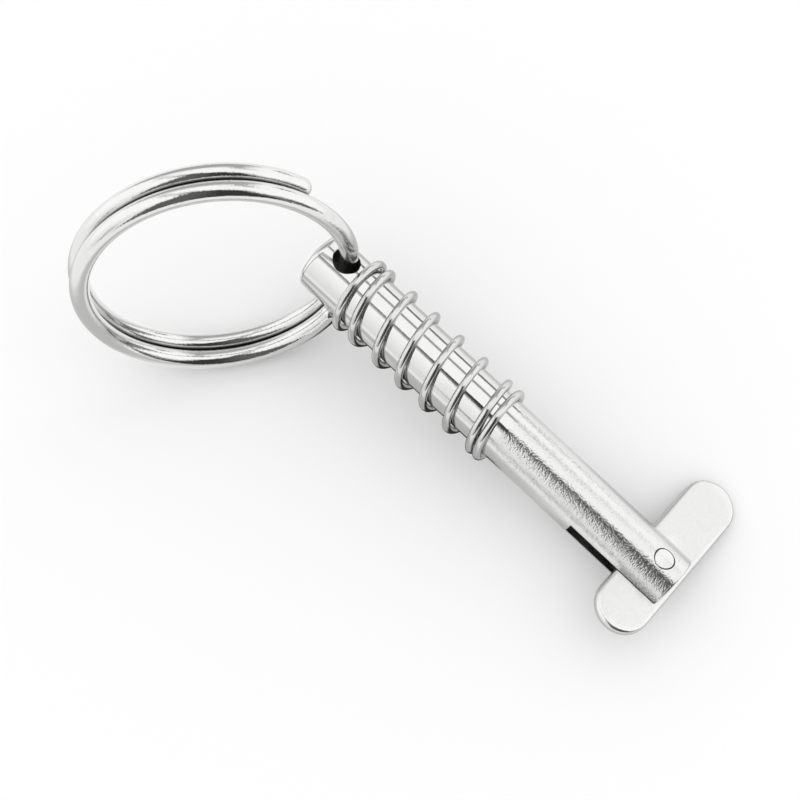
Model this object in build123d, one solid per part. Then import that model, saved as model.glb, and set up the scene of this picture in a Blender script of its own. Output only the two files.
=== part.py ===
from build123d import *
import math
import os

os.makedirs("parts", exist_ok=True)

# Driving dimensions, mm.
# Everything is built in the pin's own frame: X runs along the shank from the
# domed head to the cheek end (x = 0 at the cheek end face), Z is the axis of the
# rivet and of the cross hole, Y completes the frame and is the toggle's length.
PIN_R = 3.175            # shank, 1/4 in
X_HEAD = -48.66          # apex of the domed head
DOME_H = 1.25            # height of the domed head
KNUCKLE_R = 0.75         # radius between dome and shank
TIP_EDGE = 0.18          # rounding of the cheek end

X_HOLE = -45.19          # cross hole for the ring
Y_HOLE = 0.2             # the cross hole is drilled a little off the diameter
HOLE_R = 1.47
HOLE_CSK_R = 1.54        # edge break of the hole on the top line of the shank
HOLE_CSK_Z = 3.105       # where the edge break starts

SLOT_W = 1.42            # slot between the cheeks
SLOT_X = -11.35          # deepest point of the slot
SAW_R = 25.0             # radius of the slitting saw that leaves the slot's end

X_RIVET = -2.39
RIVET_R = 0.95
FLARE_Z = 2.75           # the holes in the cheeks flare from here
FLARE_R = 1.2            # ... to this radius at FLARE_TOP
FLARE_TOP = 3.3
RIVET_END_R = 1.03       # the rivet's end at FLARE_TOP, before it is ground flush

TOG_T = 1.2              # toggle thickness
TOG_W = 5.8
TOG_LONG = 12.25         # rivet to the long arm's end
TOG_SHORT = 8.15         # rivet to the short arm's end
TOG_OFF = 0.25           # centre line of the bar, nosewards of the rivet; in line it clears the shank's outline
TOG_EDGE = 0.4           # rounding of the bar's edges
TOG_BORE_R = 1.0
TOG_TURN = -0.8          # degrees, how the toggle stands at rest

WIRE_R = 0.97            # split ring wire
RING_R = 13.36           # mean radius of a layer
LAYER = 1.06             # half the distance between the two layers' centres
RING_PSI = 48.65         # degrees, how far the ring is swung from in line
RING_TILT = 11.4         # degrees, the ring's plane against the cross hole
RING_UP = 0.60           # the ring's centre above the pin's mid plane
RING_BUMP = 0.32         # the wire is pressed inward where it runs in the hole
BUMP_DEG = 40.0
RING_REACH = 12.526      # the ring's centre from the pin's axis, against the swing
HOLE_OFF = 0.30          # where the wire crosses the ring's mid plane off centre
JOG_FROM, JOG_LOW, JOG_HIGH, JOG_TO = -24.0, -14.0, 10.0, 38.0   # degrees
END_1 = 60.2             # where the wire starts on the upper layer, degrees
END_2 = 696.8            # where it ends on the lower layer, beside the shank, degrees

SPR_R = 3.72             # spring mean radius
SPR_WIRE_R = 0.425
SPR_PHASE = 29.0         # degrees from +Y towards +Z at turn 0
SPR_SHIFT = -0.20        # the whole spring, along the shank
SPR_LEAN = 0.22          # how far the coils lean at the start of each turn
SPR_BULGE = 0.55         # and a quarter turn later
N_COIL = 200             # points along the wire
SPR_TURNS = [-0.12, 0, 0.5, 1, 1.5, 2, 2.5, 3, 3.5, 4, 4.5, 5, 5.5, 6, 6.5, 7, 7.5, 7.65]
SPR_X = [-42.37, -42.26, -41.77, -40.96, -39.46, -37.85, -36.18, -34.70, -33.02,
         -31.35, -29.74, -28.06, -26.52, -24.75, -23.50, -23.16, -22.54, -22.42]

# How the pin lies at rest: the floor's upward normal in the pin's own frame.
UP = (-0.156962, -0.228871, 0.960719)
LIFT = 3.1094             # height of the pin's own origin over the row's floor
SHIFT = (30.8062, 4.7352)   # where the pin's own origin sits on the floor


# ---------------------------------------------------------------- pin body
cx = X_HEAD + DOME_H
crown_r = (DOME_H ** 2 + PIN_R ** 2 - 2 * PIN_R * KNUCKLE_R) / (2 * (DOME_H - KNUCKLE_R))
bend = math.atan2(PIN_R - KNUCKLE_R, crown_r - DOME_H)


def on_crown(t):
    return (X_HEAD + crown_r - crown_r * math.cos(t), crown_r * math.sin(t))


def on_knuckle(t):
    return (cx - KNUCKLE_R * math.cos(t), PIN_R - KNUCKLE_R + KNUCKLE_R * math.sin(t))


crown = ThreePointArc((X_HEAD, 0), on_crown(bend / 2), on_crown(bend))
knuckle = ThreePointArc(on_crown(bend), on_knuckle((bend + math.pi / 2) / 2), (cx, PIN_R))
side = Line((cx, PIN_R), (-TIP_EDGE, PIN_R))
nose = RadiusArc((-TIP_EDGE, PIN_R), (0, PIN_R - TIP_EDGE), TIP_EDGE)
face = Line((0, PIN_R - TIP_EDGE), (0, 0))
axis = Line((0, 0), (X_HEAD, 0))
profile = make_face([crown, knuckle, side, nose, face, axis])
body = revolve(profile, Axis.X, 360)

body -= Pos(X_HOLE, Y_HOLE, 0) * Cylinder(HOLE_R, 12)
csk_top = HOLE_CSK_R + (3.6 - PIN_R)
csk_low = HOLE_CSK_R - (PIN_R - HOLE_CSK_Z)
for s in (1, -1):
    cone = Cone(csk_low, csk_top, 3.6 - HOLE_CSK_Z)
    cone = Pos(0, 0, (3.6 + HOLE_CSK_Z) / 2) * cone
    if s < 0:
        cone = Rot(180, 0, 0) * cone
    body -= Pos(X_HOLE, Y_HOLE, 0) * cone

body -= Pos(SLOT_X + SAW_R, 0, 0) * Cylinder(SAW_R, SLOT_W)

body -= Pos(X_RIVET, 0, 0) * Cylinder(RIVET_R, 12)
for s in (1, -1):
    cone = Cone(RIVET_R, FLARE_R, FLARE_TOP - FLARE_Z)
    cone = Pos(0, 0, (FLARE_TOP + FLARE_Z) / 2) * cone
    if s < 0:
        cone = Rot(180, 0, 0) * cone
    body -= Pos(X_RIVET, 0, 0) * cone

# ---------------------------------------------------------------- rivet
rivet = Cylinder(RIVET_R, 2 * FLARE_Z)
for s in (1, -1):
    cone = Cone(RIVET_R, RIVET_END_R, FLARE_TOP - FLARE_Z)
    cone = Pos(0, 0, (FLARE_TOP + FLARE_Z) / 2) * cone
    if s < 0:
        cone = Rot(180, 0, 0) * cone
    rivet += cone
rivet = Pos(X_RIVET, 0, 0) * rivet
rivet = rivet & (Pos(X_RIVET, 0, 0) * Rot(0, 90, 0) * Cylinder(PIN_R, 8))

# ---------------------------------------------------------------- toggle
half = TOG_W / 2
straight = TOG_LONG + TOG_SHORT - TOG_W
bar = extrude(Rot(0, 0, 90) * SlotCenterToCenter(straight, TOG_W), TOG_T / 2, both=True)
bar = fillet(bar.edges().filter_by(lambda e: abs(abs(e.center().Z) - TOG_T / 2) < 1e-4), TOG_EDGE)
bar = Pos(TOG_OFF, (TOG_LONG - TOG_SHORT) / 2, 0) * bar
bar -= Cylinder(TOG_BORE_R, 4)
toggle = Pos(X_RIVET, 0, 0) * Rot(0, 0, TOG_TURN) * bar

# ---------------------------------------------------------------- split ring
psi = math.radians(RING_PSI)
tilt = math.radians(RING_TILT)
E_DIR = Vector(math.cos(psi), math.sin(psi), 0)
N_DIR = Vector(-math.sin(psi) * math.cos(tilt), math.cos(psi) * math.cos(tilt), -math.sin(tilt))
T_DIR = N_DIR.cross(E_DIR)
if T_DIR.Z < 0:
    T_DIR = T_DIR * -1
CENTRE = Vector(X_HOLE, 0, RING_UP) - E_DIR * RING_REACH
SLOPE = -(RING_R - RING_BUMP) * math.tan(tilt)   # keeps the wire along the hole


def hermite(t, y0, y1, m0, m1):
    return ((2 * t ** 3 - 3 * t ** 2 + 1) * y0 + (t ** 3 - 2 * t ** 2 + t) * m0
            + (-2 * t ** 3 + 3 * t ** 2) * y1 + (t ** 3 - t ** 2) * m1)


def jog(a):
    """How far the wire stands off the ring's mid plane near the hole, a in radians."""
    a0, a1, a2, a3 = (math.radians(v) for v in (JOG_FROM, JOG_LOW, JOG_HIGH, JOG_TO))
    if a <= a0:
        return LAYER
    if a < a1:
        return hermite((a - a0) / (a1 - a0), LAYER, HOLE_OFF + SLOPE * a1, 0, SLOPE * (a1 - a0))
    if a <= a2:
        return HOLE_OFF + SLOPE * a
    if a < a3:
        return hermite((a - a2) / (a3 - a2), HOLE_OFF + SLOPE * a2, -LAYER, SLOPE * (a3 - a2), 0)
    return -LAYER


def ring_point(a):
    """Wire centre at angle a (radians) counted from the crossing in the hole."""
    r = RING_R
    if abs(a) < math.radians(BUMP_DEG):
        r -= RING_BUMP * math.cos(a / math.radians(BUMP_DEG) * math.pi / 2) ** 2
    return CENTRE + N_DIR * jog(a) + (E_DIR * math.cos(a) + T_DIR * math.sin(a)) * r


def arc_point(deg, off):
    a = math.radians(deg)
    return CENTRE + N_DIR * off + (E_DIR * math.cos(a) + T_DIR * math.sin(a)) * RING_R


mid_a = (END_1 + 360 - BUMP_DEG) / 2
arc_a = ThreePointArc(arc_point(END_1, LAYER), arc_point(mid_a, LAYER), arc_point(360 - BUMP_DEG, LAYER))
steps = 40
pts = [ring_point(math.radians(-BUMP_DEG + 2 * BUMP_DEG * i / steps)) for i in range(steps + 1)]
t0 = (E_DIR * -math.sin(math.radians(-BUMP_DEG)) + T_DIR * math.cos(math.radians(-BUMP_DEG)))
t1 = (E_DIR * -math.sin(math.radians(BUMP_DEG)) + T_DIR * math.cos(math.radians(BUMP_DEG)))
crossing = Spline(*pts, tangents=[t0, t1])
mid_b = (BUMP_DEG + END_2 - 360) / 2
arc_b = ThreePointArc(arc_point(BUMP_DEG, -LAYER), arc_point(mid_b, -LAYER), arc_point(END_2, -LAYER))
pieces = []
for seg in (arc_a, crossing, arc_b):
    section = Plane(seg @ 0, z_dir=seg % 0) * Circle(WIRE_R)
    pieces.append(sweep(section, path=seg))
ring = pieces[0] + pieces[1] + pieces[2]
start, end = arc_point(END_1, LAYER), arc_point(END_2, -LAYER)
ring += Pos(start.X, start.Y, start.Z) * Sphere(WIRE_R)
ring += Pos(end.X, end.Y, end.Z) * Sphere(WIRE_R)

# ---------------------------------------------------------------- spring


def natural(xs, ys):
    """Natural cubic through the given points, as a function."""
    n = len(xs)
    h = [xs[i + 1] - xs[i] for i in range(n - 1)]
    al = [0.0] + [3 * ((ys[i + 1] - ys[i]) / h[i] - (ys[i] - ys[i - 1]) / h[i - 1]) for i in range(1, n - 1)]
    lo, mu, z = [1.0], [0.0], [0.0]
    for i in range(1, n - 1):
        lo.append(2 * (xs[i + 1] - xs[i - 1]) - h[i - 1] * mu[i - 1])
        mu.append(h[i] / lo[i])
        z.append((al[i] - h[i - 1] * z[i - 1]) / lo[i])
    c = [0.0] * n
    b = [0.0] * n
    d = [0.0] * n
    for j in range(n - 2, -1, -1):
        c[j] = z[j] - mu[j] * c[j + 1]
        b[j] = (ys[j + 1] - ys[j]) / h[j] - h[j] * (c[j + 1] + 2 * c[j]) / 3
        d[j] = (c[j + 1] - c[j]) / (3 * h[j])

    def f(t):
        j = 0
        while j < n - 2 and t > xs[j + 1]:
            j += 1
        q = t - xs[j]
        return ys[j] + b[j] * q + c[j] * q * q + d[j] * q ** 3

    return f


along = natural(SPR_TURNS, SPR_X)


def coil_point(k):
    a = math.radians(SPR_PHASE) + 2 * math.pi * k
    x = along(k) + SPR_SHIFT - SPR_LEAN * math.cos(2 * math.pi * k) - SPR_BULGE * math.sin(2 * math.pi * k)
    return Vector(x, SPR_R * math.cos(a), SPR_R * math.sin(a))


K0, K1 = SPR_TURNS[0], SPR_TURNS[-1]
coil = Spline(*[coil_point(K0 + (K1 - K0) * i / N_COIL) for i in range(N_COIL + 1)])
spring = sweep(Plane(coil @ 0, z_dir=coil % 0) * Circle(SPR_WIRE_R), path=coil)

# ---------------------------------------------------------------- placing
z_row = Vector(*UP).normalized()
x_row = Vector(1, 0, 0) - z_row * z_row.X
x_row = x_row.normalized()
y_row = z_row.cross(x_row)
row = Plane(origin=(0, 0, 0), x_dir=x_row, z_dir=z_row)
place = Location((SHIFT[0], SHIFT[1], LIFT)) * row.location.inverse()

for name, shape in (("pin_body", body), ("toggle", toggle), ("rivet", rivet),
                    ("spring", spring), ("split_ring", ring)):
    solids = shape.solids()
    assert len(solids) == 1, (name, len(solids))
    solid = place * solids[0]
    export_step(solid, "parts/" + name + ".step")
    print(name, round(solid.volume, 2), solid.is_valid, solid.bounding_box())
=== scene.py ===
import math

import bpy
import numpy as np
from mathutils import Matrix, Vector


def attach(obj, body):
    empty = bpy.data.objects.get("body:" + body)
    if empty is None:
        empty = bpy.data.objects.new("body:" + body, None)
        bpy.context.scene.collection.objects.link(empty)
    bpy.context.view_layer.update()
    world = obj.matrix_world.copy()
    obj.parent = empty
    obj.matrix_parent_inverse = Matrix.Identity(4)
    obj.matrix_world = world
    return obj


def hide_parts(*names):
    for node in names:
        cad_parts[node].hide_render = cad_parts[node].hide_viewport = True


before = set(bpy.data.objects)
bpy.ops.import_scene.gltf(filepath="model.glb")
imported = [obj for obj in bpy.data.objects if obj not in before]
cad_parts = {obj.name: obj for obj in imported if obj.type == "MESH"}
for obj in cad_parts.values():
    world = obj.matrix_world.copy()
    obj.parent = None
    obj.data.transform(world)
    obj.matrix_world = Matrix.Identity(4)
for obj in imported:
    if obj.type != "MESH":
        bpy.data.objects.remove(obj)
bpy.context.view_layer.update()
scene = bpy.context.scene

# ------------------------------------------------------------------ frames
# The pin's own frame, mm: X from the head to the tip along the shank, Z along
# the rivet and the cross hole, origin in the middle of the tip face.
UP = np.array([-0.156962,-0.228871,0.960719])
UP /= np.linalg.norm(UP)
XR = np.array([1.0, 0, 0]) - UP * UP[0]
XR /= np.linalg.norm(XR)
YR = np.cross(UP, XR)
ROT = np.stack([XR, YR, UP])
ORG = np.array([30.8062,4.7352,3.1094])


def row(p):
    """Points of the pin's own frame in mm, in the row's frame in metres."""
    return (np.atleast_2d(np.asarray(p, float)) @ ROT.T + ORG) / 1000.0


def pin(p):
    """Points of the row's frame in metres, in the pin's own frame in mm."""
    return (np.atleast_2d(np.asarray(p, float)) * 1000.0 - ORG) @ ROT


def unit(v):
    v = np.asarray(v, float)
    return v / np.maximum(np.linalg.norm(v, axis=-1, keepdims=True), 1e-12)


def collect(obj):
    scene.collection.objects.link(obj)
    return obj


# ------------------------------------------------------------------ dimensions
PIN_R, X_HEAD, DOME_H, KNUCKLE_R, TIP_EDGE = 3.175, -48.66, 1.25, 0.75, 0.18
X_HOLE, Y_HOLE, HOLE_R = -45.19, 0.2, 1.47
SLOT_W, SLOT_X, SAW_R = 1.42, -11.35, 25.0
X_RIVET, RIVET_R, FLARE_Z, RIVET_END_R, FLARE_R, FLARE_TOP = -2.39, 0.95, 2.75, 1.03, 1.2, 3.3
TOG_T, TOG_W, TOG_LONG, TOG_SHORT, TOG_OFF, TOG_EDGE, TOG_BORE_R, TOG_TURN = 1.2, 5.8, 12.25, 8.15, 0.25, 0.4, 1.0, -0.8
WIRE_R, RING_R, LAYER, RING_PSI, RING_TILT, RING_UP = 0.97, 13.36, 1.06, 48.65, 11.4, 0.60
RING_BUMP, BUMP_DEG, RING_REACH, HOLE_OFF = 0.32, 40.0, 12.526, 0.30
JOG = (-24.0, -14.0, 10.0, 38.0)
END_1, END_2 = 60.2, 696.8
SPR_R, SPR_WIRE_R, SPR_PHASE, SPR_SHIFT, SPR_LEAN, SPR_BULGE = 3.72, 0.425, 29.0, -0.20, 0.22, 0.55
SPR_TURNS = [-0.12, 0, 0.5, 1, 1.5, 2, 2.5, 3, 3.5, 4, 4.5, 5, 5.5, 6, 6.5, 7, 7.5, 7.65]
SPR_X = [-42.37, -42.26, -41.77, -40.96, -39.46, -37.85, -36.18, -34.70, -33.02,
         -31.35, -29.74, -28.06, -26.52, -24.75, -23.50, -23.16, -22.54, -22.42]
rng = np.random.default_rng(7)


# ------------------------------------------------------------------ mesh helpers
def build(name, verts, faces, normals=None, uv=None):
    """A mesh object from points of the pin's own frame, with smooth or given corner normals."""
    me = bpy.data.meshes.new(name)
    me.from_pydata(row(verts).tolist(), [], [tuple(int(i) for i in f) for f in faces])
    me.polygons.foreach_set("use_smooth", [True] * len(me.polygons))
    if uv is not None:
        layer = me.uv_layers.new(name="UVMap")
        idx = np.empty(len(me.loops), dtype=np.int32)
        me.loops.foreach_get("vertex_index", idx)
        layer.data.foreach_set("uv", np.asarray(uv, float)[idx].ravel())
    if normals is not None:
        me.normals_split_custom_set([tuple(v) for v in (np.asarray(normals) @ ROT.T)])
    me.update()
    return collect(bpy.data.objects.new(name, me))


def tube(points, radius, around, cap="round", closed_caps=8, scale=None):
    """A tube along points with a frame carried along it, and rounded or cut ends."""
    P = np.asarray(points, float)
    n = len(P)
    tan = unit(np.gradient(P, axis=0))
    up = np.array([0.0, 0, 1.0])
    if abs(tan[0] @ up) > 0.9:
        up = np.array([0.0, 1.0, 0])
    A = np.empty_like(P)
    a = unit(up - tan[0] * (up @ tan[0]))
    for i in range(n):
        a = unit(a - tan[i] * (a @ tan[i]))
        A[i] = a
    B = np.cross(tan, A)
    length = np.r_[0, np.cumsum(np.linalg.norm(np.diff(P, axis=0), axis=1))]
    ang = np.linspace(0, 2 * np.pi, around, endpoint=False)
    rings, us = [], []
    rad = np.full(n, radius) if scale is None else radius * scale

    def circle(c, i, r):
        return c + r * (np.cos(ang)[:, None] * A[i] + np.sin(ang)[:, None] * B[i])

    if cap == "round":
        steps = [(-math.cos(t), math.sin(t)) for t in np.linspace(0, math.pi / 2, closed_caps + 1)[1:-1]]
    else:
        e = 0.12
        steps = [(-0.0, 1 - e), (e * 0.29, 1 - e * 0.29)]
    for s, r in steps:
        rings.append(circle(P[0] + tan[0] * s * radius, 0, r * rad[0]))
        us.append(s * radius)
    lead = 1 if cap != "round" else 0
    body = range(1, n - 1) if lead else range(n)
    for i in body:
        rings.append(circle(P[i], i, rad[i]))
        us.append(length[i])
    for s, r in reversed(steps):
        rings.append(circle(P[-1] - tan[-1] * s * radius, n - 1, r * rad[-1]))
        us.append(length[-1] - s * radius)
    V = np.vstack(rings)
    m = len(rings)
    faces = []
    for i in range(m - 1):
        for j in range(around):
            k = (j + 1) % around
            faces.append((i * around + j, i * around + k, (i + 1) * around + k, (i + 1) * around + j))
    if cap == "round":
        V = np.vstack([V, P[0] - tan[0] * radius, P[-1] + tan[-1] * radius])
        a0, a1 = m * around, m * around + 1
        for j in range(around):
            k = (j + 1) % around
            faces.append((a0, k, j))
            faces.append((a1, (m - 1) * around + j, (m - 1) * around + k))
        us += [-radius]
        tail = [(us[0], 0.0), (us[-2] + radius, 0.0)]
    else:
        faces.append(tuple(range(around - 1, -1, -1)))
        faces.append(tuple(range((m - 1) * around, m * around)))
        tail = []
    uv = [(us[i] / 10.0, j / around) for i in range(m) for j in range(around)] + tail
    return V, faces, uv


# ------------------------------------------------------------------ split ring
psi, tilt = math.radians(RING_PSI), math.radians(RING_TILT)
E_DIR = np.array([math.cos(psi), math.sin(psi), 0])
N_DIR = np.array([-math.sin(psi) * math.cos(tilt), math.cos(psi) * math.cos(tilt), -math.sin(tilt)])
T_DIR = np.cross(N_DIR, E_DIR)
if T_DIR[2] < 0:
    T_DIR = -T_DIR
CENTRE = np.array([X_HOLE, 0, RING_UP]) - E_DIR * RING_REACH
RING_CENTRE = CENTRE.copy()
SLOPE = -(RING_R - RING_BUMP) * math.tan(tilt)


def hermite(t, y0, y1, m0, m1):
    return ((2 * t ** 3 - 3 * t ** 2 + 1) * y0 + (t ** 3 - 2 * t ** 2 + t) * m0
            + (-2 * t ** 3 + 3 * t ** 2) * y1 + (t ** 3 - t ** 2) * m1)


def jog(a):
    a0, a1, a2, a3 = (math.radians(v) for v in JOG)
    if a <= a0:
        return LAYER
    if a < a1:
        return hermite((a - a0) / (a1 - a0), LAYER, HOLE_OFF + SLOPE * a1, 0, SLOPE * (a1 - a0))
    if a <= a2:
        return HOLE_OFF + SLOPE * a
    if a < a3:
        return hermite((a - a2) / (a3 - a2), HOLE_OFF + SLOPE * a2, -LAYER, SLOPE * (a3 - a2), 0)
    return -LAYER


ring_pts = []
deg = END_1
while deg < END_2:
    a = math.radians(deg - 360)
    near = abs(deg - 360) < BUMP_DEG
    r = RING_R - (RING_BUMP * math.cos((deg - 360) / BUMP_DEG * math.pi / 2) ** 2 if near else 0)
    ring_pts.append(CENTRE + N_DIR * jog(a) + (E_DIR * math.cos(a) + T_DIR * math.sin(a)) * r)
    deg += 1.0 if near else 1.6
a = math.radians(END_2)
ring_pts.append(CENTRE - N_DIR * LAYER + (E_DIR * math.cos(a) + T_DIR * math.sin(a)) * RING_R)
V, Fc, uv = tube(ring_pts, WIRE_R * 0.998, 40)
ring = build("ring_wire", V, Fc, uv=uv)
# how closely each point of the wire faces the next turn; close to it the wire's colour is painted dark, a painted shade
# in the crease between the turns
line = np.array(ring_pts)
turn_no = np.array([int(np.argmin(np.linalg.norm(line - v, axis=1))) for v in V])
close = np.full(len(V), 9.0)
for i in range(0, len(V), 400):
    blk = V[i:i + 400]
    dist = np.linalg.norm(blk[:, None, :] - line[None, :, :], axis=2)
    other = np.abs(np.arange(len(line))[None, :] - turn_no[i:i + 400, None]) > 60
    close[i:i + 400] = np.where(other, dist, 9.0).min(1) - WIRE_R
crease_shade = np.clip(1 - (close - 0.15) / 0.35, 0, 1)
crease_shade = crease_shade * crease_shade * (3 - 2 * crease_shade)
ring.data.attributes.new("crease_shade", "FLOAT", "POINT").data.foreach_set("value", crease_shade.astype(np.float32))


# ------------------------------------------------------------------ spring
def natural(xs, ys):
    """Natural cubic through the given points, as a function."""
    n = len(xs)
    h = [xs[i + 1] - xs[i] for i in range(n - 1)]
    al = [0.0] + [3 * ((ys[i + 1] - ys[i]) / h[i] - (ys[i] - ys[i - 1]) / h[i - 1]) for i in range(1, n - 1)]
    lo, mu, z = [1.0], [0.0], [0.0]
    for i in range(1, n - 1):
        lo.append(2 * (xs[i + 1] - xs[i - 1]) - h[i - 1] * mu[i - 1])
        mu.append(h[i] / lo[i])
        z.append((al[i] - h[i - 1] * z[i - 1]) / lo[i])
    c, b, d = [0.0] * n, [0.0] * n, [0.0] * n
    for j in range(n - 2, -1, -1):
        c[j] = z[j] - mu[j] * c[j + 1]
        b[j] = (ys[j + 1] - ys[j]) / h[j] - h[j] * (c[j + 1] + 2 * c[j]) / 3
        d[j] = (c[j + 1] - c[j]) / (3 * h[j])

    def f(t):
        j = 0
        while j < n - 2 and t > xs[j + 1]:
            j += 1
        q = t - xs[j]
        return ys[j] + b[j] * q + c[j] * q * q + d[j] * q ** 3

    return f


along = natural(SPR_TURNS, SPR_X)
coil = []
K0, K1, NK = SPR_TURNS[0], SPR_TURNS[-1], 620
for i in range(NK + 1):
    k = K0 + (K1 - K0) * i / NK
    a = math.radians(SPR_PHASE) + 2 * math.pi * k
    x = along(k) + SPR_SHIFT - SPR_LEAN * math.cos(2 * math.pi * k) - SPR_BULGE * math.sin(2 * math.pi * k)
    coil.append((x, SPR_R * math.cos(a), SPR_R * math.sin(a)))
V, Fc, uv = tube(coil, SPR_WIRE_R, 28, cap="cut")
spring = build("spring_wire", V, Fc, uv=uv)


# ------------------------------------------------------------------ toggle
def stadium(inset, n_arc=48, n_side=14):
    """Outline of the bar, inset from its widest line, anticlockwise from the long arm's end."""
    r = TOG_W / 2 - inset
    cl, cs = TOG_LONG - TOG_W / 2, -(TOG_SHORT - TOG_W / 2)
    top = [(TOG_OFF + r * math.cos(t), cl + r * math.sin(t)) for t in np.linspace(0, math.pi, n_arc)]
    left = [(TOG_OFF - r, y) for y in np.linspace(cl, cs, n_side + 2)[1:-1]]
    bot = [(TOG_OFF + r * math.cos(t), cs + r * math.sin(t)) for t in np.linspace(math.pi, 2 * math.pi, n_arc)]
    right = [(TOG_OFF + r, y) for y in np.linspace(cs, cl, n_side + 2)[1:-1]]
    return np.array(top + left + bot + right)


def turn_toggle(p):
    c, s = math.cos(math.radians(TOG_TURN)), math.sin(math.radians(TOG_TURN))
    p = np.asarray(p, float)
    return np.stack([X_RIVET + p[:, 0] * c - p[:, 1] * s, p[:, 0] * s + p[:, 1] * c, p[:, 2]], 1)


edge = 9
levels = [(TOG_EDGE * (1 - math.sin(t)), TOG_T / 2 - TOG_EDGE * (1 - math.cos(t)))
          for t in np.linspace(0, math.pi / 2, edge)]
levels = levels + [(i, -z) for i, z in reversed(levels)]
loops = [np.c_[stadium(i), np.full(len(stadium(i)), z)] for i, z in levels]
count = len(loops[0])
hub = loops[0][:, :2]
hub_dir = unit(hub)
V = []
inner = [(TOG_BORE_R, TOG_T / 2 - 0.05), (TOG_BORE_R + 0.05, TOG_T / 2)]
for r, z in inner:
    V.append(np.c_[hub_dir * r, np.full(count, z)])
for w in (0.35, 0.7, 0.93):
    V.append(np.c_[hub_dir * (TOG_BORE_R + 0.05) * (1 - w) + hub * w, np.full(count, TOG_T / 2)])
V += loops
for w in (0.93, 0.7, 0.35):
    V.append(np.c_[hub_dir * (TOG_BORE_R + 0.05) * (1 - w) + hub * w, np.full(count, -TOG_T / 2)])
for r, z in reversed(inner):
    V.append(np.c_[hub_dir * r, np.full(count, -z)])
m = len(V)
V = np.vstack(V)
Fc = []
for i in range(m):
    nxt = (i + 1) % m
    for j in range(count):
        k = (j + 1) % count
        Fc.append((i * count + j, nxt * count + j, nxt * count + k, i * count + k))
toggle = build("toggle_bar", turn_toggle(V), Fc)

# ------------------------------------------------------------------ rivet
seg = 96
ang = np.linspace(0, 2 * np.pi, seg, endpoint=False)
rr = RIVET_R + (RIVET_END_R - RIVET_R) * (np.array([0, 0.3]) / (FLARE_TOP - FLARE_Z))


def ground(x, y):
    """Height of the shank's surface above the mid plane."""
    return np.sqrt(np.maximum(PIN_R ** 2 - y ** 2, 0))


def rivet_side(sign):
    out = []
    for f in (0.0, 0.3, 0.6, 0.8, 0.9, 0.95, 0.985):
        r = f * 1.005
        x, y = r * np.cos(ang), r * np.sin(ang)
        dish = -0.018 * (1 - (f / 0.95) ** 2) if f < 0.95 else 0.0
        drop = 0.0 if f < 0.97 else 0.012
        out.append(np.c_[X_RIVET + x, y, sign * (ground(x, y) + dish - drop)])
    r = 1.008
    x, y = r * np.cos(ang), r * np.sin(ang)
    out.append(np.c_[X_RIVET + x, y, sign * (ground(x, y) - 0.045)])
    r = 0.975
    x, y = r * np.cos(ang), r * np.sin(ang)
    out.append(np.c_[X_RIVET + x, y, np.full(seg, sign * FLARE_Z)])
    return out


rings = rivet_side(1) + [np.c_[X_RIVET + RIVET_R * np.cos(ang), RIVET_R * np.sin(ang), np.full(seg, z)] for z in (2.6, -2.6)]
rings += list(reversed(rivet_side(-1)))
V = np.vstack(rings)
Fc = []
for i in range(len(rings) - 1):
    for j in range(seg):
        k = (j + 1) % seg
        Fc.append((i * seg + j, (i + 1) * seg + j, (i + 1) * seg + k, i * seg + k))
rivet = build("rivet_pin", V, Fc)
bm_fix = rivet.data
bm_fix.validate()

# ------------------------------------------------------------------ pin body
# The CAD mesh with the exact normals of each surface it lies on.
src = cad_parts["pin_body"]
me = src.data.copy()
me.name = "shank"
body = collect(bpy.data.objects.new("shank", me))
co = np.empty(len(me.vertices) * 3)
me.vertices.foreach_get("co", co)
P = pin(co.reshape(-1, 3))
cx = X_HEAD + DOME_H
crown_r = (DOME_H ** 2 + PIN_R ** 2 - 2 * PIN_R * KNUCKLE_R) / (2 * (DOME_H - KNUCKLE_R))
bend = math.atan2(PIN_R - KNUCKLE_R, crown_r - DOME_H)


def radial(p):
    return unit(np.c_[np.zeros(len(p)), p[:, 1], p[:, 2]])


def f_shank(p):
    r = np.hypot(p[:, 1], p[:, 2])
    return np.abs(r - PIN_R) < 0.02, radial(p)


def f_crown(p):
    q = p - np.array([X_HEAD + crown_r, 0, 0])
    return (np.abs(np.linalg.norm(q, axis=1) - crown_r) < 0.02) & (p[:, 0] < X_HEAD + crown_r * (1 - math.cos(bend)) + 0.03), unit(q)


def ring_normal(p, x0, rho):
    r = np.maximum(np.hypot(p[:, 1], p[:, 2]), 1e-9)
    d = np.c_[p[:, 0] - x0, (r - rho)[:, None] * p[:, 1:] / r[:, None]]
    return np.linalg.norm(d, axis=1), unit(d)


def f_knuckle(p):
    d, n = ring_normal(p, cx, PIN_R - KNUCKLE_R)
    return (np.abs(d - KNUCKLE_R) < 0.02) & (p[:, 0] < cx + 0.01), n


def f_nose(p):
    d, n = ring_normal(p, -TIP_EDGE, PIN_R - TIP_EDGE)
    return (np.abs(d - TIP_EDGE) < 0.02) & (p[:, 0] > -TIP_EDGE - 0.01), n


def f_tip(p):
    return np.abs(p[:, 0]) < 0.005, np.tile([1.0, 0, 0], (len(p), 1))


def f_wall(p):
    return np.abs(np.abs(p[:, 2]) - SLOT_W / 2) < 0.005, np.c_[np.zeros((len(p), 2)), -np.sign(p[:, 2])]


def f_saw(p):
    q = p - np.array([SLOT_X + SAW_R, 0, 0])
    q[:, 2] = 0
    return np.abs(np.linalg.norm(q, axis=1) - SAW_R) < 0.01, -unit(q)


def f_bore(x0, y0, r0):
    def f(p):
        q = np.c_[p[:, 0] - x0, p[:, 1] - y0, np.zeros(len(p))]
        return np.abs(np.linalg.norm(q, axis=1) - r0) < 0.02, -unit(q)
    return f


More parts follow.
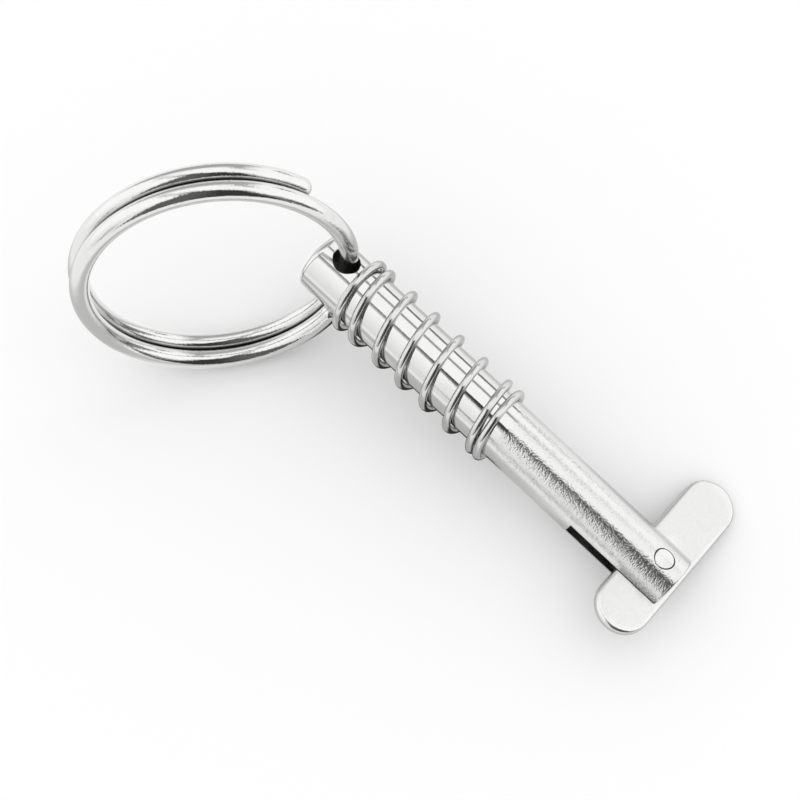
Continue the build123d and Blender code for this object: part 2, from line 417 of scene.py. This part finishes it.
def f_cone(x0, y0, r0, z0, slope):
    def f(p):
        q = np.c_[p[:, 0] - x0, p[:, 1] - y0, np.zeros(len(p))]
        rad = np.linalg.norm(q, axis=1)
        want = r0 + slope * (np.abs(p[:, 2]) - z0)
        n = -unit(q)
        n[:, 2] = slope * np.sign(p[:, 2])
        return np.abs(rad - want) < 0.02, unit(n)
    return f


tests = [f_shank, f_crown, f_knuckle, f_nose, f_tip, f_wall, f_saw,
         f_bore(X_HOLE, Y_HOLE, HOLE_R), f_bore(X_RIVET, 0, RIVET_R),
         f_cone(X_HOLE, Y_HOLE, 1.54, PIN_R, 1.0),
         f_cone(X_RIVET, 0, RIVET_R, FLARE_Z, (FLARE_R - RIVET_R) / (FLARE_TOP - FLARE_Z))]
# faces of these tests (cross hole wall, rivet bore, rivet seat) get the darker bore material, a painted shade inside
# the holes
dark_tests = {7, 8, 10}
results = [t(P.copy()) for t in tests]
bore_faces = [0] * len(me.polygons)
corner = np.zeros((len(me.loops), 3))
missed = 0
for poly in me.polygons:
    vi = list(poly.vertices)
    g = np.array(poly.normal) @ ROT
    best, score = None, 0.5
    for which, (ok, nn) in enumerate(results):
        if ok[vi].all():
            s = float((nn[vi] @ g).min())
            if s > score:
                best, score = nn[vi], s
                bore_faces[poly.index] = int(which in dark_tests)
    if best is None:
        missed += 1
        best = np.tile(g, (len(vi), 1))
    for li, n in zip(poly.loop_indices, best):
        corner[li] = n
print("shank faces with no surface:", missed, "of", len(me.polygons))
me.polygons.foreach_set("use_smooth", [True] * len(me.polygons))
me.normals_split_custom_set([tuple(v) for v in (corner @ ROT.T)])
me.update()

for name, obj, nodes_, body_name, slot_name in (
        ("split_ring_wire", ring, ["split_ring"], "ring", "ring_steel"),
        ("spring_coil", spring, ["spring"], "spring", "spring_steel"),
        ("toggle_bar", toggle, ["toggle"], "toggle", "toggle_steel"),
        ("rivet_pin", rivet, ["rivet"], "pin", "rivet_steel"),
        ("shank", body, ["pin_body"], "pin", "shank_steel")):
    obj.name = name
    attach(obj, body_name)
    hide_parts(*nodes_)


# ------------------------------------------------------------------ node arithmetic
class Net:
    """Small helper that writes arithmetic as shader nodes."""

    def __init__(self, tree):
        self.t = tree

    def node(self, kind, **props):
        n = self.t.nodes.new(kind)
        for k, v in props.items():
            setattr(n, k, v)
        return n

    def put(self, socket, value):
        if isinstance(value, bpy.types.NodeSocket):
            self.t.links.new(value, socket)
        else:
            socket.default_value = value

    def math(self, op, a, b=0.0, c=0.0, clamp=False):
        n = self.node("ShaderNodeMath", operation=op, use_clamp=clamp)
        self.put(n.inputs[0], a)
        self.put(n.inputs[1], b)
        if op in ("MULTIPLY_ADD", "SMOOTH_MIN", "SMOOTH_MAX"):
            self.put(n.inputs[2], c)
        return n.outputs[0]

    def add(self, a, b):
        return self.math("ADD", a, b)

    def sub(self, a, b):
        return self.math("SUBTRACT", a, b)

    def mul(self, a, b):
        return self.math("MULTIPLY", a, b)

    def step(self, v, lo, hi, smooth=True):
        """0 below lo, 1 above hi, and a soft rise between; lo above hi gives a fall."""
        n = self.node("ShaderNodeMapRange", interpolation_type="SMOOTHSTEP" if smooth else "LINEAR")
        self.put(n.inputs["Value"], v)
        if isinstance(lo, float) and isinstance(hi, float) and lo > hi:
            n.inputs["From Min"].default_value, n.inputs["From Max"].default_value = hi, lo
            n.inputs["To Min"].default_value, n.inputs["To Max"].default_value = 1.0, 0.0
        else:
            self.put(n.inputs["From Min"], lo)
            self.put(n.inputs["From Max"], hi)
        return n.outputs[0]

    def span(self, v, lo, hi, soft):
        """1 between lo and hi with soft ends."""
        return self.mul(self.step(v, lo - soft, lo + soft), self.step(v, hi + soft, hi - soft))

    def scale(self, v, lo, hi, to_lo, to_hi):
        n = self.node("ShaderNodeMapRange")
        self.put(n.inputs["Value"], v)
        n.inputs["From Min"].default_value, n.inputs["From Max"].default_value = lo, hi
        n.inputs["To Min"].default_value, n.inputs["To Max"].default_value = to_lo, to_hi
        return n.outputs[0]

    def noise(self, vec, scale, detail=2.0, rough=0.5, distortion=0.0):
        n = self.node("ShaderNodeTexNoise")
        self.put(n.inputs["Vector"], vec)
        n.inputs["Scale"].default_value = scale
        n.inputs["Detail"].default_value = detail
        n.inputs["Roughness"].default_value = rough
        n.inputs["Distortion"].default_value = distortion
        return n.outputs["Fac"]

    def dot(self, vec, d):
        n = self.node("ShaderNodeVectorMath", operation="DOT_PRODUCT")
        self.put(n.inputs[0], vec)
        n.inputs[1].default_value = tuple(float(x) for x in d)
        return n.outputs["Value"]

    def bump(self, height, strength, distance, normal=None):
        n = self.node("ShaderNodeBump")
        self.put(n.inputs["Strength"], strength)
        n.inputs["Distance"].default_value = distance
        self.put(n.inputs["Height"], height)
        if normal is not None:
            self.put(n.inputs["Normal"], normal)
        return n.outputs["Normal"]

    def mix(self, fac, a, b):
        n = self.node("ShaderNodeMix", data_type="RGBA")
        self.put(n.inputs[0], fac)
        for i, v in ((6, a), (7, b)):
            if isinstance(v, bpy.types.NodeSocket):
                self.t.links.new(v, n.inputs[i])
            else:
                n.inputs[i].default_value = (*v, 1)
        return n.outputs[2]


# ------------------------------------------------------------------ metals
PIN_X = ROT @ np.array([1.0, 0, 0])
ORIGIN_X = float(row([0, 0, 0])[0] @ PIN_X)


def steel(name, light, dark, rough, grain=1.0, grain_size=0.11, wave=0.0, mark=0.3,
          satin=None, wire=False, crease_shade=False):
    """Bare steel: fine grain from tumbling, a slow unevenness, and faint rubbed patches.
    satin=(from, to, rough, grain) makes it duller beyond a place along the shank, in mm."""
    m = bpy.data.materials.new(name)
    m.use_nodes = True
    nt = m.node_tree
    net = Net(nt)
    b = nt.nodes["Principled BSDF"]
    b.inputs["Metallic"].default_value = 1.0
    obj = net.node("ShaderNodeTexCoord").outputs["Object"]
    fine = net.noise(obj, 1000.0 / grain_size, 1.0, 0.5)
    mid = net.noise(obj, 1000.0 / grain_size * 0.42, 2.0, 0.55)
    broad = net.noise(obj, 240.0, 3.0, 0.55)
    patch = net.noise(obj, 620.0, 4.0, 0.6, 0.5)
    scuff = net.mul(net.step(patch, 0.52, 0.74), mark)
    dots = net.mul(net.step(fine, 0.62, 0.78), mark * 0.5)
    tone = net.math("ADD", scuff, dots, clamp=True)
    col = net.mix(tone, light, dark)
    strength = 0.5 * grain
    r_ = net.scale(broad, 0.3, 0.7, rough * 0.75, rough * 1.25)
    if satin:
        x_mm = net.mul(net.sub(net.dot(obj, PIN_X), ORIGIN_X), 1000.0)
        beyond = net.step(net.math("MULTIPLY_ADD", net.sub(patch, 0.5), 3.0, x_mm), float(satin[0]), float(satin[1]))
        r_ = net.math("MULTIPLY_ADD", beyond, satin[2] - rough, r_)
        strength = net.math("MULTIPLY_ADD", beyond, 0.5 * (satin[3] - grain), 0.5 * grain)
    r_ = net.math("MULTIPLY_ADD", net.step(patch, 0.45, 0.75), rough * 0.5, r_)
    if crease_shade:
        # painted shade: where the wire faces the next turn its colour is mixed towards near black and made rougher
        at = net.node("ShaderNodeAttribute", attribute_name="crease_shade")
        shade = net.math("MULTIPLY", at.outputs["Fac"], net.scale(mid, 0.3, 0.7, 0.75, 1.0), clamp=True)
        col = net.mix(shade, col, (0.015, 0.015, 0.014))
        r_ = net.math("MULTIPLY_ADD", shade, 0.3, r_)
    nt.links.new(col, b.inputs["Base Color"])
    nt.links.new(r_, b.inputs["Roughness"])
    height = net.add(net.mul(fine, 0.7), net.mul(mid, 0.7))
    n1 = net.bump(height, strength, 0.00003)
    if wave:
        n1 = net.bump(net.noise(obj, 380.0, 2.0, 0.5), wave, 0.00012, n1)
    if wire:
        # drawing lines along the wire
        mp = net.node("ShaderNodeMapping")
        mp.inputs["Scale"].default_value = (0.8, 26.0, 1.0)
        nt.links.new(net.node("ShaderNodeUVMap").outputs["UV"], mp.inputs["Vector"])
        n1 = net.bump(net.noise(mp.outputs["Vector"], 3.0, 3.0, 0.6), 0.22, 0.00002, n1)
    nt.links.new(n1, b.inputs["Normal"])
    return m


shank_m = steel("shank_steel", (0.62, 0.62, 0.612), (0.46, 0.46, 0.455), 0.06, grain=0.16, grain_size=0.14,
                wave=0.03, mark=0.16, satin=(-23.0, -21.0, 0.08, 1.9))
# painted shade: the walls of the cross hole and of the rivet's bore and seat get a much darker steel that stands for
# the shade inside them
bore_shade_m = steel("bore_painted_shade", (0.26, 0.26, 0.258), (0.14, 0.14, 0.14), 0.40, grain=0.8, grain_size=0.16)
toggle_m = steel("toggle_steel", (0.66, 0.66, 0.652), (0.52, 0.52, 0.515), 0.24, grain=0.6, grain_size=0.20, wave=0.08, mark=0.2)
rivet_m = steel("rivet_steel", (0.65, 0.65, 0.642), (0.50, 0.50, 0.495), 0.18, grain=0.4, grain_size=0.16, wave=0.12, mark=0.25)
spring_m = steel("spring_steel", (0.56, 0.56, 0.553), (0.34, 0.34, 0.335), 0.08, grain=0.25, grain_size=0.12, mark=0.2, wire=True)
ring_m = steel("ring_steel", (0.64, 0.64, 0.632), (0.46, 0.46, 0.455), 0.08, grain=0.8, grain_size=0.16, wave=0.05, mark=0.15,
               wire=True, crease_shade=True)
for o, ms in ((ring, [ring_m]), (spring, [spring_m]), (toggle, [toggle_m]), (rivet, [rivet_m]), (body, [shank_m, bore_shade_m])):
    o.data.materials.clear()
    for m_ in ms:
        o.data.materials.append(m_)
    o.data.polygons.foreach_set("material_index", [0] * len(o.data.polygons))
body.data.polygons.foreach_set("material_index", bore_faces)

# ------------------------------------------------------------------ floor
floor_me = bpy.data.meshes.new("floor")
F = 1.2
floor_me.from_pydata([(-F, -F, 0), (F, -F, 0), (F, F, 0), (-F, F, 0)], [], [(0, 1, 2, 3)])
floor = collect(bpy.data.objects.new("floor", floor_me))
fm = bpy.data.materials.new("floor")
fm.use_nodes = True
fb = fm.node_tree.nodes["Principled BSDF"]
fb.inputs["Base Color"].default_value = (0.93, 0.93, 0.93, 1)
fb.inputs["Roughness"].default_value = 0.9
fb.inputs["Specular IOR Level"].default_value = 0.0
fn = Net(fm.node_tree)
f_obj = fn.node("ShaderNodeTexCoord").outputs["Object"]
a_, b_ = row([X_HEAD, 0, 0])[0], row([0, 0, 0])[0]
along_f = unit(np.array([b_[0] - a_[0], b_[1] - a_[1], 0]))
off_f = np.array([-along_f[1], along_f[0], 0])
if off_f @ (row([0, 1, 0])[0] - b_) > 0:
    off_f = -off_f
t_f = fn.sub(fn.dot(f_obj, along_f), float(a_ @ along_f))
d_f = fn.sub(fn.dot(f_obj, off_f), float(a_ @ off_f))
# painted shade, seen only in reflections (Is Glossy Ray below): the floor is painted dark beside the head half of the
# pin, around the ring, by the tip and along both sides of the pin
near = fn.mul(fn.mul(fn.step(d_f, 0.0078, 0.0040), fn.step(d_f, -0.001, 0.001)),
              fn.mul(fn.step(t_f, -0.004, 0.002), fn.step(t_f, 0.029, 0.026)))
mid_f = row(RING_CENTRE)[0]
mid_f[2] = 0
reach = fn.node("ShaderNodeVectorMath", operation="DISTANCE")
fm.node_tree.links.new(f_obj, reach.inputs[0])
reach.inputs[1].default_value = tuple(float(v) for v in mid_f)
ring_floor_shade = fn.mul(fn.step(reach.outputs["Value"], 0.010, 0.018), fn.step(reach.outputs["Value"], 0.050, 0.028))
tip_f = row([0, 1.5, 0])[0]
tip_f[2] = 0
reach_t = fn.node("ShaderNodeVectorMath", operation="DISTANCE")
fm.node_tree.links.new(f_obj, reach_t.inputs[0])
reach_t.inputs[1].default_value = tuple(float(v) for v in tip_f)
tip_floor_shade = fn.mul(fn.step(reach_t.outputs["Value"], 0.024, 0.013), 0.42)
side_floor_shade = fn.mul(fn.mul(fn.step(fn.math("ABSOLUTE", d_f), 0.020, 0.006), 0.32),
                fn.mul(fn.step(t_f, -0.006, 0.0), fn.step(t_f, 0.060, 0.052)))
glossy = fn.node("ShaderNodeLightPath").outputs["Is Glossy Ray"]
shade_f = fn.math("MAXIMUM", fn.math("MAXIMUM", near, fn.mul(ring_floor_shade, 0.42)), fn.math("MAXIMUM", tip_floor_shade, side_floor_shade))
# in reflections only, the floor's colour is painted dark by shade_f, and outside it the floor glows faintly: a painted
# brightness seen in the metal
fm.node_tree.links.new(fn.mix(fn.mul(shade_f, glossy), (0.93, 0.93, 0.93), (0.06, 0.06, 0.06)), fb.inputs["Base Color"])
fb.inputs["Emission Color"].default_value = (1, 1, 1, 1)
fm.node_tree.links.new(fn.mul(fn.mul(fn.sub(1.0, shade_f), glossy), 0.26), fb.inputs["Emission Strength"])
floor_me.materials.append(fm)

# ------------------------------------------------------------------ camera
cam_data = bpy.data.cameras.new("camera")
cam = collect(bpy.data.objects.new("camera", cam_data))
CAM_RV = np.array([2.476858, 1.007588, 0.13132])
CAM_T = np.array([26.656123, 18.229829, 147.423682])
CAM_F = 1491.176641
th = np.linalg.norm(CAM_RV)
k = CAM_RV / th
K = np.array([[0, -k[2], k[1]], [k[2], 0, -k[0]], [-k[1], k[0], 0]])
RC = np.eye(3) + math.sin(th) * K + (1 - math.cos(th)) * K @ K
CENTRE = -RC.T @ CAM_T
world_from_cam = ROT @ RC.T @ np.diag([1.0, -1.0, -1.0])
M4 = np.eye(4)
M4[:3, :3] = world_from_cam
M4[:3, 3] = row(CENTRE)[0]
cam.matrix_world = Matrix(M4.tolist())
cam_data.sensor_width = 36.0
cam_data.lens = CAM_F / 800.0 * 36.0
cam_data.clip_start = 0.005
cam_data.clip_end = 10.0
scene.camera = cam

# ------------------------------------------------------------------ studio
# A white light tent. Seen from the object its opening stands over the table's
# near edge, with two seams that rise from it to a greyer back wall.
ACROSS = ROT @ RC.T @ np.array([1.0, 0, 0])      # to the tent's right
DOWN = ROT @ RC.T @ np.array([0, 1.0, 0])        # to the near edge
OUT = ROT @ RC.T @ np.array([0, 0, -1.0])        # to the opening

world = bpy.data.worlds.new("studio")
scene.world = world
world.use_nodes = True
wt = world.node_tree
wt.nodes.clear()
w = Net(wt)
gen = w.node("ShaderNodeTexCoord").outputs["Generated"]
r_, d_, o_ = w.dot(gen, ACROSS), w.dot(gen, DOWN), w.dot(gen, OUT)
span = w.math("SQRT", w.math("MAXIMUM", w.mul(w.add(o_, 1.0), 2.0), 1e-4))
X = w.math("DIVIDE", r_, span)
Y = w.math("DIVIDE", d_, span)
ripple = w.sub(w.noise(gen, 7.0, 3.0), 0.5)
X = w.math("MULTIPLY_ADD", ripple, 0.03, X)
Y = w.math("MULTIPLY_ADD", ripple, 0.03, Y)


def ridge(ax, ay, bx, by, half_a, half_b, soft):
    """1 along the line from a to b, with that half width at each end, fading over soft."""
    lx, ly = bx - ax, by - ay
    n = math.hypot(lx, ly)
    lx, ly = lx / n, ly / n
    t = w.math("MULTIPLY_ADD", X, lx, w.math("MULTIPLY_ADD", Y, ly, -(ax * lx + ay * ly)))
    d = w.math("ABSOLUTE", w.math("MULTIPLY_ADD", X, -ly, w.math("MULTIPLY_ADD", Y, lx, ax * ly - ay * lx)))
    half = w.scale(t, 0.0, n, half_a, half_b)
    across = w.step(w.sub(d, half), soft, -soft)
    return w.mul(across, w.mul(w.step(t, -soft, soft), w.step(t, n + soft, n - soft)))


# the opening: a dark wedge with soft sides, wider towards the near edge
left = w.math("MULTIPLY_ADD", Y, -0.48, -0.078)
left = w.math("MAXIMUM", left, -0.21)
right = w.math("MULTIPLY_ADD", Y, 0.34, 0.26)
inside = w.mul(w.step(w.sub(X, left), -0.025, 0.025), w.step(w.sub(right, X), -0.05, 0.04))
top_edge = w.math("MULTIPLY_ADD", X, 0.60, -0.106)
top_edge = w.math("MINIMUM", top_edge, 0.01)
opening = w.mul(inside, w.step(w.sub(Y, top_edge), -0.015, 0.015))
opening = w.mul(opening, w.step(Y, 0.88, 0.60))

# the seams that rise from its corners
seams = [
    (ridge(0.003, -0.065, -0.085, -0.145, 0.022, 0.022, 0.012), 0.72),
    (ridge(-0.005, -0.012, -0.14, -0.135, 0.036, 0.030, 0.014), 0.50),
    (ridge(-0.10, -0.15, -0.22, -0.25, 0.034, 0.028, 0.025), 0.50),
    (ridge(-0.22, -0.25, -0.31, -0.42, 0.030, 0.030, 0.03), 0.50),
    (ridge(0.17, -0.436, 0.30, -0.352, 0.034, 0.034, 0.016), 0.66),
    (ridge(0.30, -0.352, 0.40, -0.29, 0.022, 0.015, 0.014), 0.25),
    (ridge(0.17, -0.436, 0.22, -0.56, 0.030, 0.035, 0.03), 0.5),
    (ridge(0.38, -0.63, 0.50, -0.54, 0.032, 0.030, 0.012), 0.80),
    (ridge(0.50, -0.55, 0.56, -0.50, 0.020, 0.015, 0.012), 0.30),
    (ridge(-0.365, 0.30, -0.358, 0.52, 0.014, 0.034, 0.016), 0.62),
    (ridge(0.27, -0.33, 0.205, -0.205, 0.008, 0.008, 0.006), 0.45),
    (ridge(0.205, -0.205, 0.13, -0.12, 0.008, 0.004, 0.006), 0.30),
]

# the back wall, and something grey beyond the near right corner
wall = w.mul(w.step(Y, -0.42, -0.58), w.step(X, -0.95, -0.45))
wall = w.mul(wall, w.step(X, 0.34, 0.16))
corner_ = w.mul(w.step(w.sub(X, right), -0.02, 0.05), w.step(Y, 0.12, 0.30))
corner_ = w.mul(corner_, w.step(w.add(X, Y), 1.45, 1.15))

value = 1.46
depth_ = w.scale(X, 0.02, 0.14, -0.89, -0.965)
value = w.mul(w.math("MULTIPLY_ADD", opening, depth_, 1.0), value)
for shape, depth in seams:
    value = w.mul(w.math("MULTIPLY_ADD", shape, -depth, 1.0), value)
value = w.mul(w.math("MULTIPLY_ADD", wall, -0.60, 1.0), value)
value = w.mul(w.math("MULTIPLY_ADD", corner_, -0.91, 1.0), value)
# the near left side hangs a little further from the lamps
value = w.mul(w.scale(w.math("MINIMUM", w.mul(X, -1.0), Y), 0.0, 0.45, 1.0, 0.72), value)

lp = w.node("ShaderNodeLightPath")
seen = w.node("ShaderNodeBackground")
seen.inputs["Color"].default_value = (1, 1, 1, 1)
wt.links.new(value, seen.inputs["Strength"])
soft = w.node("ShaderNodeBackground")
soft.inputs["Color"].default_value = (1, 1, 1, 1)
soft.inputs["Strength"].default_value = 1.08
mixs = w.node("ShaderNodeMixShader")
wt.links.new(lp.outputs["Is Glossy Ray"], mixs.inputs[0])
wt.links.new(soft.outputs[0], mixs.inputs[1])
wt.links.new(seen.outputs[0], mixs.inputs[2])
wo = w.node("ShaderNodeOutputWorld")
wt.links.new(mixs.outputs[0], wo.inputs["Surface"])

# ------------------------------------------------------------------ end
scene.view_settings.view_transform = "Standard"
scene.view_settings.look = "None"
